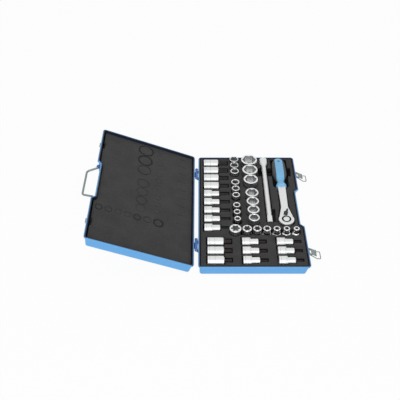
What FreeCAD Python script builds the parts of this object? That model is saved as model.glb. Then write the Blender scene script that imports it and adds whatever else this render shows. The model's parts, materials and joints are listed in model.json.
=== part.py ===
import FreeCAD, Part
import math
import os

# Socket wrench set in a pressed-steel case that lies open with its lid tipped back.
# Millimetres. Origin at the centre of the base's underside, +X towards the latches, +Y back, +Z up.

Vec = FreeCAD.Vector

# Pressed-steel case
sheet = 1.0  # wall of both shells
base_depth = 28.0
lid_depth = 28.0
wall_lean = 8.5  # how far the latch-side walls lean in towards the panels
shell_radius = 5.5  # upright corners and panel edges
rim_lip = 3.2  # rolled rim, standing proud of the wall
rim_round = 1.3  # its rolled edges
rim_lip_height = 4.5
rim_gap = 0.6  # between the two rims when shut
dent_depth = 9.5  # recess for the carrying handle
dent_half_length = 62.0
lid_open_angle = 158.9
cut_past = 1.0  # how far a hole's cutter runs past the face it leaves
press_slack = 0.05  # on a radius, pressed or riveted together
turning_slack = 0.05  # on a radius, turning on a pin

# Hinges
hinge_y = 133.0
hinge_length = 38.0
hinge_sheet = 1.5
hinge_leaf_height = 13.0
hinge_reach = 7.8  # wall to pin
hinge_barrel_radius = 3.75
hinge_pin_radius = 1.75
hinge_arm_drop = 3.6  # pin to the lower edge of a knuckle's arm
knuckle_gap = 0.3
middle_knuckle = 18.7

# Toggle latches
latch_y = 143.5
latch_sheet = 1.2
latch_plate_width = 20.0
latch_plate_height = 17.0
latch_plate_drop = 5.2  # rim to the plate's top edge
latch_pivot_past = 5.8  # rim to lever pin, outwards
latch_pivot_drop = 9.5  # rim to lever pin, downwards
latch_pin_radius = 1.2
latch_eye_radius = 2.6
ear_offset = 6.6  # middle of the latch to the middle of an ear
lever_width = 19.0
lever_length = 16.8
lever_clear = 4.2  # lever pin to the lever's plate
lever_swing = 80.0
loop_arm = 4.6  # lever pin to loop pin
loop_wire_radius = 1.1
loop_side_gap = 0.8  # lever to the loop beside it
loop_end_gap = 0.4  # loop end past the lever's cheek
loop_bend = 2.4
loop_knee_bend = 3.0
loop_knee_rise = 3.6  # base rim to the loop's knee
loop_rim_gap = 0.6  # loop to the rim it passes
loop_swing = 202.0
keeper_width = 15.0
keeper_height = 10.0
keeper_past = 3.3  # rim to the keeper's lip, outwards
keeper_drop = 5.4  # lid rim to the keeper's lip
keeper_lip = 2.9
hook_gap = 0.3
rivet_radius = 1.5
rivet_head_radius = 2.8
rivet_head = 1.2
rivet_crown_radius = 2.2  # where the head's edge rounds over
rivet_crown = 0.85
rivet_spacing = 14.0
rivet_drop = 18.5

# Carrying handle
handle_wire_radius = 2.5
handle_reach = 27.0
handle_splay = 10.5  # how much wider the legs stand at the pins than at the bar
handle_bend = 9.0
handle_foot_bend = 3.6
handle_rim_gap = 0.7  # leg to the rim it passes
handle_pivot_drop = 10.5  # lid rim to pin
handle_droop = 27.8
bracket_length = 4.0
bracket_gap = 0.5
bracket_inset = 0.5  # dent's end to the bracket
bracket_wall = 2.0

# Foam
foam_wall_gap = 1.5
foam_drop = 1.2  # rim to the tray's top face
lid_foam_drop = 6.0
foam_floor = 1.2  # foam left under the standing sockets
rest_gap = 0.4  # tool to pocket floor
pocket_gap = 0.9  # round a standing socket
bit_side_gap = 2.0
bit_end_gap = 2.8
blade_side_gap = 2.4
notch_length = 24.0
notch_depth = 4.5  # pad's edge to the back of a notch

# Standing sockets: width across flats and outside diameter at the nose
square = 12.7
square_slack = 0.1
square_depth = 17.0
chamfer = 0.7
socket_drive_diameter = 22.0
socket_shoulder = 17.0  # height of the drive end
small_sockets = (
    ((10, 16.1), (11, 17.0), (12, 18.0)),
    ((13, 19.2), (14, 19.9), (15, 21.2)),
    ((16, 22.1), (17, 22.3), (18, 23.3)),
)
small_length = 36.0
small_gap = 3.3
small_group_gaps = (16.8, 23.4)
large_sockets = (((19, 26.6), (21, 29.5), (22, 30.7), (24, 32.7)), ((27, 37.1), (30, 40.0), (32, 42.1)))
large_length = 42.0
large_gap = 1.3
large_group_gap = 18.4
hole_depth = 15.0
lead_in = 1.1  # cone at a hexagon mouth
way_share = 0.9  # round way through, over the mouth or the square, whichever is smaller
channel_share = 0.8  # channel between two wells, over the smaller socket

# Sockets for external star screws: size, star's outer diameter and outside diameter at the nose
star_sockets = (
    (24, 22.2, 28.5),
    (20, 18.5, 22.7),
    (18, 16.7, 20.2),
    (16, 14.8, 18.5),
    (14, 12.9, 16.9),
    (12, 11.2, 15.4),
    (10, 9.4, 14.0),
)
star_drive_diameter = 21.0
star_length = 34.0
star_gap = 2.6
star_foam_floor = 4.0
star_root = 0.72  # depth of the flutes, as inner over outer diameter

# Screwdriver sockets: size, blade diameter or width across flats, and whether the body has a neck
hexagon_bits = (
    (4, 4.0, True),
    (5, 5.0, True),
    (6, 6.0, True),
    (7, 7.0, True),
    (8, 8.0, True),
    (9, 9.0, False),
    (10, 10.0, False),
    (12, 12.0, False),
    (14, 14.0, False),
)
star_bits = (
    ((50, 8.8, False), (55, 11.2, False), (60, 13.3, False)),
    ((30, 5.5, True), (40, 6.7, True), (45, 7.8, True)),
    ((20, 3.9, True), (25, 4.4, True), (27, 5.0, True)),
)
bit_diameter = 23.5
bit_neck_diameter = 17.5
bit_drive_length = 19.5
bit_body_length = 38.5
hexagon_blade = 23.9
star_blade = 17.7
blade_root = 11.0  # length pressed into the body
bit_sink = 3.0  # tray's top face down to the axis

# Extension bar
bar_length = 251.0
bar_diameter = 12.8
bar_end_diameter = 21.7
bar_end_length = 20.0
bar_taper = 9.0
bar_sink = 2.3  # tray's top face down to the axis
bar_side_gap = 2.5
bar_end_gap = 1.2
tip_square_length = 15.0
tip_end_radius = 7.0  # corners turned off at the end of a square
tip_corner_radius = 8.2  # and along its edges
tip_pocket_side = 9.0
tip_pocket_length = 46.0

# Ratchet
head_diameter = 38.3
head_thickness = 19.0
head_top_wall = 3.5
head_edge = 2.0
flare_start = 10.7  # head centre to where the flare leaves the head
flare_step = 0.01  # flare's faces below the head's
flare_length = 48.5  # head centre to the end of the flare
shank_front_width = 16.6
shank_back_width = 19.3
shank_thickness = 12.0
tang_width = 11.0
tang_thickness = 8.0
tang_length = 70.0
ratchet_length = 261.6
square_length = 10.8
gear_radius = 13.5
gear_tooth = 1.2
gear_teeth = 30
gear_gap = 0.5
hub_radius = 11.2
hub_proud = 0.3
button_radius = 7.8
button_height = 4.0
button_proud = 0.6
button_travel = 2.0
cover_thickness = 1.5
cover_radius = 17.0
lever_post_radius = 2.5
lever_post_y = 19.6  # head centre to the reversing lever's post
lever_boss_radius = 5.4
lever_thumb = 12.5
lever_thumb_width = 4.6
lever_height = 3.6
lever_lift = 0.4
lever_turn = -22.0  # thumb tip to the right of the shank at rest
pawl_radius = 4.9
pawl_flat = 3.0  # post to the pawl's flat heel
grip_length = 112.0
grip_width = 37.8
grip_height = 28.0
grip_strip = 20.5  # blue strip between the pads
pad_start = 22.4  # grip's front to the pads
grip_hole_radius = 3.6
grip_hole_inset = 16.5
grip_side_gap = 2.5
shank_side_gap = 2.4

# Spaces between the tools, from the hinge side to the latch side
hinge_margin = 11.7
bit_socket_gap = 7.4
small_large_gap = 7.4
large_bar_gap = 8.0
bar_grip_gap = 10.6
latch_margin = 21.0
star_bit_margin = 18.7
star_bit_pitch = 82.3
star_row_lap = 1.9  # hexagon blades' tips past the start of the row
row_end_margin = 9.0

# Spaces between the tools, from the front to the back
front_margin = 9.6
star_bit_rows = 30.4
star_row_gap = 6.5
hexagon_gap = 24.6
hexagon_pitch = 31.7
small_front_gap = 11.0
large_front_gap = 9.8
bar_front_gap = 23.0
head_front_gap = 10.4
back_margin = 5.7

# Finger slot across the bar and the grip
slot_length = 33.5
slot_from_back = 44.2  # back wall to the slot
slot_latch_margin = 10.4
slot_bar_margin = 6.4  # bar's thick end to the slot's end
slot_floor = 10.0

# Heights
foam_top = base_depth - foam_drop
socket_floor = sheet + foam_floor
bit_axis = foam_top - bit_sink
bar_axis = foam_top - bar_sink
square_tip = sheet + 2 * rest_gap
head_bottom = square_tip + square_length + cover_thickness
head_top = head_bottom + head_thickness
shank_axis = head_bottom + head_thickness / 2


def seat(diameter, drive):
    """Pocket diameter that a standing socket needs, nose or drive end, whichever is wider."""
    return max(diameter, drive)


# Widths of the columns, added up from the hinge wall
hexagon_length = bit_body_length + hexagon_blade
star_bit_length = bit_body_length + star_blade
small_width = max(seat(d, socket_drive_diameter) for group in small_sockets for _, d in group)
large_width = max(d for group in large_sockets for _, d in group)
hexagon_start = hinge_margin
small_from_hinge = hexagon_start + hexagon_length + bit_socket_gap + small_width / 2
large_from_hinge = small_from_hinge + small_width / 2 + small_large_gap + large_width / 2
bar_from_hinge = large_from_hinge + large_width / 2 + large_bar_gap + bar_end_diameter / 2
grip_from_hinge = bar_from_hinge + bar_end_diameter / 2 + bar_grip_gap + grip_width / 2
star_seats = [seat(d, star_drive_diameter) for _, _, d in star_sockets]
star_row = [hexagon_start + hexagon_length - star_row_lap + star_seats[0] / 2]
for before, after in zip(star_seats, star_seats[1:]):
    star_row.append(star_row[-1] + (before + after) / 2 + star_gap)
case_width = max(
    grip_from_hinge + grip_width / 2 + latch_margin,
    star_bit_margin + 2 * star_bit_pitch + star_bit_length + row_end_margin,
    star_row[-1] + star_seats[-1] / 2 + row_end_margin,
)

# Lengths of the columns, added up from the front wall
star_bit_ys = [front_margin + bit_diameter / 2 + star_bit_rows * i for i in range(3)]
last_star_bit = star_bit_ys[-1] + bit_diameter / 2
star_row_y = last_star_bit + star_row_gap + star_seats[0] / 2
hexagon_ys = [
    last_star_bit + hexagon_gap + bit_diameter / 2 + hexagon_pitch * i for i in range(len(hexagon_bits))
]


def stacked(start, groups, gap, group_gaps):
    """Distances from the front wall of the sockets in a column, group by group."""
    edge = start
    column = []
    for index, diameters in enumerate(groups):
        places = []
        for diameter in diameters:
            places.append(edge + diameter / 2)
            edge += diameter + gap
        edge += group_gaps[min(index, len(group_gaps) - 1)] - gap
        column.append(places)
    return column


small_seats = [[seat(d, socket_drive_diameter) for _, d in group] for group in small_sockets]
large_seats = [[seat(d, socket_drive_diameter) for _, d in group] for group in large_sockets]
star_row_back = star_row_y + star_seats[0] / 2
star_row_end = star_row_y + star_seats[-1] / 2
small_ys = stacked(star_row_back + small_front_gap, small_seats, small_gap, small_group_gaps)
large_ys = stacked(star_row_end + large_front_gap, large_seats, large_gap, (large_group_gap,))
bar_front = star_row_end + bar_front_gap
head_y = star_row_end + head_front_gap + head_diameter / 2
ratchet_back = head_y - head_diameter / 2 + ratchet_length
case_length = back_margin + max(
    hexagon_ys[-1] + bit_diameter / 2,
    small_ys[-1][-1] + small_seats[-1][-1] / 2,
    large_ys[-1][-1] + large_seats[-1][-1] / 2,
    bar_front + bar_length,
    ratchet_back,
)


def from_hinge(distance):
    """X of a place measured from the hinge wall."""
    return distance - case_width / 2


def from_front(distance):
    """Y of a place measured from the front wall."""
    return distance - case_length / 2


bar_x = from_hinge(bar_from_hinge)
grip_x = from_hinge(grip_from_hinge)
head_centre_y = from_front(head_y)
grip_back_y = from_front(ratchet_back)
grip_front_y = grip_back_y - grip_length

# Where the parts of the case turn
lean_angle = math.degrees(math.atan2(wall_lean, base_depth))
lid_lean_angle = math.degrees(math.atan2(wall_lean, lid_depth))
hinge_pin = Vec(-case_width / 2 - hinge_reach, 0, base_depth + rim_gap / 2)
hinge_axis = Vec(0, -1, 0)
base_lean = FreeCAD.Rotation(Vec(0, 1, 0), lean_angle)
lid_lean = FreeCAD.Rotation(Vec(0, 1, 0), lid_lean_angle)
base_wall = FreeCAD.Placement(Vec(case_width / 2, 0, base_depth), base_lean)
lid_wall = FreeCAD.Placement(Vec(case_width / 2, 0, lid_depth), lid_lean)
lid_shut = FreeCAD.Placement(
    Vec(0, 0, base_depth + rim_gap + lid_depth), FreeCAD.Rotation(Vec(1, 0, 0), 180)
)
lid_swing = FreeCAD.Placement(Vec(0, 0, 0), FreeCAD.Rotation(hinge_axis, lid_open_angle), hinge_pin)
lid_open = lid_swing.multiply(lid_shut)
rim_out = rim_lip * math.cos(math.radians(lean_angle))
lid_rim_out = rim_lip * math.cos(math.radians(lid_lean_angle))
keeper_reach = lid_rim_out + keeper_past
lever_pin = Vec(rim_out + latch_pivot_past, 0, -latch_pivot_drop)
loop_knee = Vec(rim_out + loop_rim_gap + loop_wire_radius, 0, loop_knee_rise)
loop_pin = lever_pin - Vec(0, 0, loop_arm)
loop_side_y = lever_width / 2 + loop_side_gap + loop_wire_radius
hook_seat = Vec(
    keeper_reach - latch_sheet - hook_gap - loop_wire_radius,
    0,
    -keeper_drop - latch_sheet - hook_gap - loop_wire_radius,
)
hook_shut = base_wall.inverse().multVec(lid_shut.multVec(lid_wall.multVec(hook_seat)))
handle_pivot_out = rim_lip + handle_rim_gap + handle_wire_radius
handle_pin = Vec(case_width / 2 - dent_depth + handle_pivot_out, 0, lid_depth - handle_pivot_drop)
handle_leg_y = dent_half_length - bracket_inset - bracket_length - bracket_gap - handle_wire_radius
handle_bar_half = handle_leg_y - handle_splay


def box(x0, x1, y0, y1, z0, z1):
    """Block between two corners."""
    return Part.makeBox(x1 - x0, y1 - y0, z1 - z0, Vec(x0, y0, z0))


def rod(radius, start, end):
    """Round bar from one point to another."""
    return Part.makeCylinder(radius, (end - start).Length, start, end - start)


def prism(points, along):
    """Flat outline pushed along a direction."""
    return Part.Face(Part.makePolygon(points + points[:1])).extrude(along)


def turned(profile):
    """Solid turned about Z from (radius, height) points that start and end on the axis."""
    points = [Vec(r, 0, h) for r, h in profile]
    face = Part.Face(Part.makePolygon(points + points[:1]))
    return face.revolve(Vec(0, 0, 0), Vec(0, 0, 1), 360)


def placed(shape, placement):
    """Copy of a shape carried by a placement."""
    copy = shape.copy()
    copy.Placement = placement.multiply(copy.Placement)
    return copy


def shifted(shape, x, y, z):
    """Copy of a shape moved by x, y and z."""
    return placed(shape, FreeCAD.Placement(Vec(x, y, z), FreeCAD.Rotation()))


def lying(shape, start):
    """Copy of an upright shape laid along +X, with its foot at start."""
    return placed(shape, FreeCAD.Placement(start, FreeCAD.Rotation(Vec(0, 1, 0), 90)))


def fused(shapes):
    """One solid made of overlapping shapes."""
    return shapes[0].multiFuse(shapes[1:]).removeSplitter()


def bent_wire(points, bends, radius):
    """Round wire through the points, with a tangent bend of its own radius at each corner."""
    edges = []
    start = points[0]
    for before, corner, after, bend in zip(points, points[1:], points[2:], bends):
        back = (before - corner).normalize()
        ahead = (after - corner).normalize()
        half = back.getAngle(ahead) / 2
        first = corner + back * (bend / math.tan(half))
        last = corner + ahead * (bend / math.tan(half))
        middle = corner + (back + ahead).normalize() * (bend / math.sin(half) - bend)
        edges.append(Part.LineSegment(start, first).toShape())
        edges.append(Part.Arc(first, middle, last).toShape())
        start = last
    edges.append(Part.LineSegment(start, points[-1]).toShape())
    section = Part.Wire(Part.Circle(points[0], points[1] - points[0], radius).toShape())
    return Part.Wire(edges).makePipeShell([section], True, True)


def hexagon(across_flats, height):
    """Hexagon bar standing on z = 0."""
    radius = across_flats / math.sqrt(3)
    corners = [Vec(radius, 0, 0)]
    for i in range(1, 6):
        corners.append(Vec(radius * math.cos(math.pi * i / 3), radius * math.sin(math.pi * i / 3), 0))
    return prism(corners, Vec(0, 0, height))


def star(diameter, height):
    """Six-lobed bar standing on z = 0, lobes and flutes as arcs."""
    tip = diameter / 2
    root = tip * star_root
    flank = (tip + root) / 2

    def at(radius, sixtieths):
        turn = math.radians(sixtieths * 60)
        return Vec(radius * math.cos(turn), radius * math.sin(turn), 0)

    edges = []
    for i in range(6):
        edges.append(Part.Arc(at(flank, i - 0.25), at(tip, i), at(flank, i + 0.25)).toShape())
        edges.append(Part.Arc(at(flank, i + 0.25), at(root, i + 0.5), at(flank, i + 0.75)).toShape())
    return Part.Face(Part.Wire(edges)).extrude(Vec(0, 0, height))


def square_bar(height, slack):
    """Square drive standing on z = 0."""
    half = square / 2 + slack
    return box(-half, half, -half, half, 0, height)


def dent(inset, depth):
    """Recess for the handle, cut through a latch-side wall, with sloping ends."""
    deep = case_width / 2 - dent_depth - inset
    half = dent_half_length + inset * math.tan(math.pi / 8)
    far = case_width / 2 + dent_depth
    spread = far - deep
    outline = [
        Vec(deep, -half, -depth),
        Vec(far, -half - spread, -depth),
        Vec(far, half + spread, -depth),
        Vec(deep, half, -depth),
    ]
    return prism(outline, Vec(0, 0, 3 * depth))


flat_slack = 0.001  # an edge with less rise than this lies level


def case_block(depth, inset, bottom, top, round_bottom):
    """The case's plan filled from bottom to top, inset from the outside of its walls."""
    hinge_x = -case_width / 2 + inset
    half = case_length / 2 - inset
    low_x = case_width / 2 - inset - wall_lean * (depth - bottom) / depth
    high_x = case_width / 2 - inset - wall_lean * (depth - top) / depth
    outline = [
        Vec(hinge_x, -half, bottom),
        Vec(low_x, -half, bottom),
        Vec(high_x, -half, top),
        Vec(hinge_x, -half, top),
    ]
    block = prism(outline, Vec(0, 2 * half, 0))
    edges = [e for e in block.Edges if e.BoundBox.ZLength > (top - bottom) / 2]
    if round_bottom:
        edges += [e for e in block.Edges if e.BoundBox.ZMax < (top + bottom) / 2]
    return block.makeFillet(shell_radius - inset, edges).cut(dent(inset, depth))


def case_shell(depth):
    """Pressed tray with a folded rim, open at the top."""
    outside = case_block(depth, 0, 0, depth, True)
    rim = case_block(depth, -rim_lip, depth - rim_lip_height, depth, False)
    rim = rim.makeFillet(rim_round, [e for e in rim.Edges if e.BoundBox.ZLength < flat_slack])
    inside = case_block(depth, sheet, sheet, depth + sheet, True)
    return outside.fuse(rim).cut(inside)


def hinge_leaf(depth, knuckles):
    """Leaf welded to the hinge wall under the rim, with arms out to its knuckles."""
    wall_x = -case_width / 2
    pin_x = wall_x - hinge_reach
    pin_z = depth + rim_gap / 2
    top = depth - rim_lip_height - knuckle_gap
    half = hinge_length / 2
    plate = box(wall_x - hinge_sheet, wall_x, -half, half, top - hinge_leaf_height, top)
    pieces = [plate]
    for y0, y1 in knuckles:
        arm = [
            Vec(wall_x - hinge_sheet / 2, y0, top - 3 * hinge_sheet),
            Vec(wall_x - rim_lip - knuckle_gap, y0, top),
            Vec(pin_x + hinge_barrel_radius / 2, y0, pin_z),
            Vec(pin_x, y0, pin_z - hinge_arm_drop),
        ]
        pieces.append(prism(arm, Vec(0, y1 - y0, 0)))
        pieces.append(rod(hinge_barrel_radius, Vec(pin_x, y0, pin_z), Vec(pin_x, y1, pin_z)))
    end = half + cut_past
    bore = rod(hinge_pin_radius + turning_slack, Vec(pin_x, -end, pin_z), Vec(pin_x, end, pin_z))
    return fused(pieces).cut(bore)


def latch_rivets():
    """Two rivets through a latch plate and the wall, in the wall's frame."""
    wall = sheet * math.cos(math.radians(lean_angle))
    profile = [
        (0, -wall),
        (rivet_radius, -wall),
        (rivet_radius, latch_sheet),
        (rivet_head_radius, latch_sheet),
        (rivet_crown_radius, latch_sheet + rivet_crown),
        (0, latch_sheet + rivet_head),
    ]
    rivet = turned(profile)
    return [lying(rivet, Vec(0, side * rivet_spacing / 2, -rivet_drop)) for side in (-1, 1)]


def rivet_holes():
    """Clearance for the two rivets, in the wall's frame."""
    reach = 3 * (sheet + latch_sheet)
    holes = []
    for side in (-1, 1):
        y = side * rivet_spacing / 2
        holes.append(rod(rivet_radius + press_slack, Vec(-reach, y, -rivet_drop), Vec(reach, y, -rivet_drop)))
    return holes


def latch_plate():
    """Riveted plate with two ears for the lever's pin, in the wall's frame."""
    half = latch_plate_width / 2
    bottom = -latch_plate_drop - latch_plate_height
    pieces = [box(0, latch_sheet, -half, half, bottom, -latch_plate_drop)]
    for side in (-1, 1):
        y0 = side * ear_offset - latch_sheet / 2
        eye = Vec(lever_pin.x, y0, lever_pin.z)
        low = lever_pin.z - latch_eye_radius
        pieces.append(box(0, lever_pin.x, y0, y0 + latch_sheet, low, low + 2 * latch_eye_radius))
        pieces.append(rod(latch_eye_radius, eye, eye + Vec(0, latch_sheet, 0)))
    bore = rod(
        latch_pin_radius + turning_slack,
        lever_pin - Vec(0, latch_plate_width, 0),
        lever_pin + Vec(0, latch_plate_width, 0),
    )
    return fused(pieces).cut([bore] + rivet_holes())


def latch_pin():
    """Pin through the lever's cheeks and the plate's ears, in the wall's frame."""
    half = lever_width / 2
    return rod(latch_pin_radius, lever_pin - Vec(0, half, 0), lever_pin + Vec(0, half, 0))


def latch_lever():
    """Lever with two cheeks, shut against the wall, in the wall's frame."""
    half = lever_width / 2
    outer = lever_pin.x + latch_eye_radius
    tip = lever_pin.z - lever_length
    blade = box(outer - latch_sheet, outer, -half, half, tip, lever_pin.z - lever_clear)
    curl = rod(latch_sheet, Vec(outer, -half, tip), Vec(outer, half, tip))
    pieces = [blade, curl]
    for side in (-1, 1):
        y0 = side * half - (latch_sheet if side > 0 else 0)
        eye = Vec(lever_pin.x, y0, lever_pin.z)
        foot = lever_pin.z - loop_arm - latch_eye_radius
        pieces.append(box(outer - 2 * latch_eye_radius, outer, y0, y0 + latch_sheet, foot, lever_pin.z))
        pieces.append(rod(latch_eye_radius, eye, eye + Vec(0, latch_sheet, 0)))
    reach = Vec(0, lever_width, 0)
    bores = [
        rod(latch_pin_radius + turning_slack, lever_pin - reach, lever_pin + reach),
        rod(loop_wire_radius + turning_slack, loop_pin - reach, loop_pin + reach),
    ]
    return fused(pieces).cut(bores)


def latch_loop():
    """Wire loop from the lever round the rims to the keeper, shut, in the wall's frame."""
    end_y = lever_width / 2 - latch_sheet - loop_end_gap
    points = []
    for side in (1, -1):
        stops = [loop_pin + Vec(0, side * end_y, 0)]
        for corner in (loop_pin, loop_knee, hook_shut):
            stops.append(corner + Vec(0, side * loop_side_y, 0))
        points += stops if side > 0 else stops[::-1]
    foot_bend = loop_side_gap + loop_wire_radius
    bends = (foot_bend, loop_knee_bend, loop_bend)
    return bent_wire(points, bends + bends[::-1], loop_wire_radius)


def opened_lever(shape):
    """A shut lever, or what hangs on it, swung out to its rest."""
    copy = shape.copy()
    copy.rotate(lever_pin, hinge_axis, lever_swing)
    return copy


def opened_loop(shape):
    """The shut loop folded out beside the lever, then swung out with it."""
    copy = shape.copy()
    copy.rotate(loop_pin, hinge_axis, -loop_swing)
    return opened_lever(copy)


def on_base_wall(shape, y):
    """A piece in the wall's frame set on the base's latch wall."""
    return shifted(placed(shape, base_wall), 0, y, 0)


def latch_keeper():
    """Angle with a curled lip that the loop hooks behind, in the lid wall's frame."""
    half = keeper_width / 2
    lip = -keeper_drop
    plate = box(0, latch_sheet, -half, half, lip - keeper_height, lip)
    ledge = box(0, keeper_reach, -half, half, lip - latch_sheet, lip)
    curl = box(keeper_reach - latch_sheet, keeper_reach, -half, half, lip - keeper_lip, lip)
    return fused([plate, ledge, curl])


def on_lid(shape):
    """A piece in the lid tray's frame, rim up, carried to the open lid."""
    return placed(shape, lid_open)


def handle_bracket(side):
    """Eye welded in the lid's dent, in the lid tray's frame."""
    y0 = handle_leg_y + handle_wire_radius + bracket_gap
    if side < 0:
        y0 = -y0 - bracket_length
    radius = handle_wire_radius + bracket_wall
    eye = Vec(handle_pin.x, y0, handle_pin.z)
    end = eye + Vec(0, bracket_length, 0)
    foot = box(
        case_width / 2 - dent_depth,
        handle_pin.x,
        y0,
        y0 + bracket_length,
        handle_pin.z - radius,
        handle_pin.z + radius,
    )
    past = Vec(0, cut_past, 0)
    bore = rod(handle_wire_radius + turning_slack, eye - past, end + past)
    return fused([foot, rod(radius, eye, end)]).cut(bore)


def carry_handle():
    """Wire handle standing out from the lid, in the lid tray's frame."""
    end_y = handle_leg_y + handle_wire_radius + bracket_gap + bracket_length
    bar_x = handle_pin.x + handle_reach
    half = [
        Vec(handle_pin.x, end_y, handle_pin.z),
        Vec(handle_pin.x, handle_leg_y, handle_pin.z),
        Vec(bar_x, handle_bar_half, handle_pin.z),
    ]
    other = [Vec(p.x, -p.y, p.z) for p in reversed(half)]
    bends = (handle_foot_bend, handle_bend, handle_bend, handle_foot_bend)
    wire = bent_wire(half + other, bends, handle_wire_radius)
    wire.rotate(handle_pin, Vec(0, 1, 0), handle_droop)
    return wire


def lid_foam():
    """Pad in the lid, notched at the latch keepers, in the lid tray's frame."""
    top = lid_depth - lid_foam_drop
    inset = sheet + foam_wall_gap
    pad = case_block(lid_depth, inset, sheet, top, True)
    x = case_width / 2 - inset - wall_lean * lid_foam_drop / lid_depth - notch_depth
    notches = []
    for side in (-1, 1):
        y = side * latch_y
        notches.append(
            box(x, case_width / 2, y - notch_length / 2, y + notch_length / 2, sheet, lid_depth)
        )
    return pad.cut(notches)


def socket_body(diameter, drive, length):
    """Turned outside of a standing socket, foot on z = 0."""
    r = diameter / 2
    d = drive / 2
    shoulder = min(socket_shoulder, length / 2)
    taper = abs(d - r)
    profile = [
        (0, 0),
        (d - chamfer, 0),
        (d, chamfer),
        (d, shoulder),
        (r, shoulder + taper),
        (r, length - chamfer),
        (r - chamfer, length),
        (0, length),
    ]
    if taper < flat_slack:
        del profile[4]
    return turned(profile)


def drive_hole(mouth, length):
    """Square hole from the foot and a round way through that is no wider than the mouth."""
    way = Part.makeCylinder(min(square, mouth) * way_share / 2, length, Vec(0, 0, 0))
    return [square_bar(square_depth, square_slack), way]


def hexagon_socket(size, diameter, length):
    """Standing socket with a hexagon mouth and a lead-in cone."""
    mouth = shifted(hexagon(size, length), 0, 0, length - hole_depth)
    lead = Part.makeCone(size / 2, size / 2 + lead_in, lead_in, Vec(0, 0, length - lead_in))
    body = socket_body(diameter, seat(diameter, socket_drive_diameter), length)
    return body.cut(drive_hole(size, length) + [mouth, lead])


def star_socket(diameter, nose):
    """Standing socket with a six-lobed mouth."""
    mouth = shifted(star(diameter, star_length), 0, 0, star_length - hole_depth)
    body = socket_body(nose, seat(nose, star_drive_diameter), star_length)
    return body.cut(drive_hole(diameter * star_root, star_length) + [mouth])


def bit_socket(blade_shape, necked, blade_length):
    """Screwdriver socket along +Z: chromed body with a square hole, and a blade pressed into it."""
    r = bit_diameter / 2
    n = bit_neck_diameter / 2
    if necked:
        profile = [(0, 0), (r - chamfer, 0), (r, chamfer), (r, bit_drive_length)]
        profile += [(n, bit_drive_length + chamfer), (n, bit_body_length - chamfer)]
        profile += [(n - chamfer, bit_body_length), (0, bit_body_length)]
    else:
        profile = [(0, 0), (r - chamfer, 0), (r, chamfer), (r, bit_body_length - 2 * chamfer)]
        profile += [(r - 2 * chamfer, bit_body_length), (0, bit_body_length)]
    seat_hole = blade_shape(press_slack, blade_length + blade_root + cut_past)
    seat_hole = shifted(seat_hole, 0, 0, bit_body_length - blade_root)
    body = turned(profile).cut([square_bar(square_depth, square_slack), seat_hole])
    blade = shifted(blade_shape(0, blade_length + blade_root), 0, 0, bit_body_length - blade_root)
    return Part.makeCompound([body, blade])


def hexagon_bit(across_flats, necked):
    """Screwdriver socket with a hexagon blade."""
    return bit_socket(lambda slack, length: hexagon(across_flats + 2 * slack, length), necked, hexagon_blade)


def star_bit(diameter, necked):
    """Screwdriver socket with a star blade."""
    return bit_socket(lambda slack, length: star(diameter + 2 * slack, length), necked, star_blade)


def bit_pocket(x, y, blade_width, necked, blade_length):
    """Pocket for a lying screwdriver socket, stepped in plan like the tool."""
    floor = bit_axis - bit_diameter / 2 - rest_gap
    wide = bit_diameter / 2 + bit_side_gap
    mid = bit_neck_diameter / 2 + bit_side_gap
    thin = blade_width / 2 + blade_side_gap
    step = x + bit_drive_length + bit_side_gap
    neck_end = x + bit_body_length + bit_side_gap
    tip = x + bit_body_length + blade_length + blade_side_gap
    half = [(x - bit_end_gap, wide)]
    if necked:
        half += [(step, wide), (step, mid), (neck_end, mid)]
    else:
        half += [(neck_end, wide)]
    half += [(neck_end, thin), (tip, thin)]
    outline = [Vec(px, y + py, floor) for px, py in half]
    outline += [Vec(px, y - py, floor) for px, py in reversed(half)]
    return prism(outline, Vec(0, 0, 2 * foam_top - floor))


def standing_pocket(places, diameters, floor):
    """Pocket shared by standing sockets: a round well for each, joined by channels."""
    wells = []
    for (x, y), diameter in zip(places, diameters):
        wells.append(Part.makeCylinder(diameter / 2 + pocket_gap, 2 * foam_top, Vec(x, y, floor)))
    for i in range(len(places) - 1):
        (x0, y0), (x1, y1) = places[i], places[i + 1]
        half = min(diameters[i], diameters[i + 1]) * channel_share / 2
        along_x = abs(x1 - x0) > abs(y1 - y0)
        if along_x:
            wells.append(box(x0, x1, y0 - half, y0 + half, floor, 2 * foam_top))
        else:
            wells.append(box(x0 - half, x0 + half, y0, y1, floor, 2 * foam_top))
    return fused(wells)


def bar_pockets():
    """Pockets for the extension bar: its length, its thick end and finger room at its tip."""
    top = 2 * foam_top
    front = from_front(bar_front)
    back = front + bar_length
    thick = back - bar_end_length - bar_taper
    side = bar_diameter / 2 + bar_side_gap
    end_side = bar_end_diameter / 2 + bar_end_gap
    floor = bar_axis - bar_diameter / 2 - rest_gap
    end_floor = bar_axis - bar_end_diameter / 2 - rest_gap
    tip_front = front + bar_side_gap
    grip_side = bar_end_diameter / 2 + bar_grip_gap / 2
    return [
        box(bar_x - side, bar_x + side, front - bar_end_gap, back, floor, top),
        box(bar_x - end_side, bar_x + end_side, thick, back + bar_end_gap, end_floor, top),
        box(bar_x - tip_pocket_side, bar_x + grip_side, tip_front, tip_front + tip_pocket_length, floor, top),
    ]


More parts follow.
